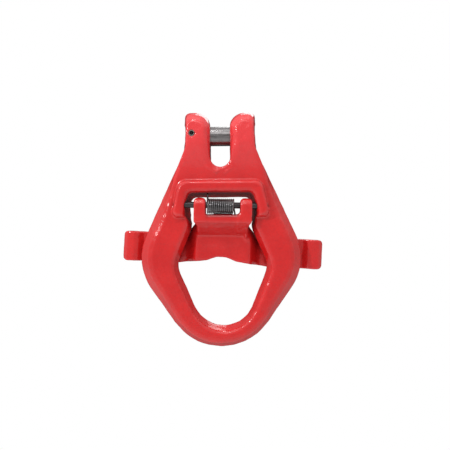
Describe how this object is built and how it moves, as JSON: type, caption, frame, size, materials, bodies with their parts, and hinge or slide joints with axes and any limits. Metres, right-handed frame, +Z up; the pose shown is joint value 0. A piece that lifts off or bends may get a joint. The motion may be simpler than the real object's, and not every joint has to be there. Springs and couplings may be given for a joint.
{
  "type": "clevis lug link with safety latch",
  "caption": "Forged link that joins a chain, held in a pinned clevis, to a headed lifting lug in its eye, with a sprung latch bar across the back.",
  "frame": {"origin": "middle of the load pin, on the middle plane of the forging", "axes": "hanging attitude: +X across the link to the right, +Y to the back where the latch bar lies, +Z up towards the chain"},
  "size_m": [0.1721, 0.036, 0.1955],
  "materials": {
    "enamel": "gloss red enamel over a forged surface",
    "phosphated_steel": "dark phosphated steel",
    "spring_pin_steel": "plain rolled spring steel",
    "black_spring_wire": "black oiled spring wire"
  },
  "bodies": {
    "link": {"link_body": "enamel", "load_pin": "phosphated_steel", "roll_pin": "spring_pin_steel", "hinge_pin": "phosphated_steel", "spring": "black_spring_wire"},
    "latch": {"latch": "enamel"}
  },
  "joints": [
    {"name": "latch_swing", "type": "hinge", "parent": "link", "child": "latch", "pos_m": [0, -0.012, -0.0582], "axis": [0.9997, 0, -0.0227], "range_deg": [0, 50], "stiffness_Nm_per_rad": 0.15, "springref_deg": -68.75, "deforming": ["spring"]}
  ]
}
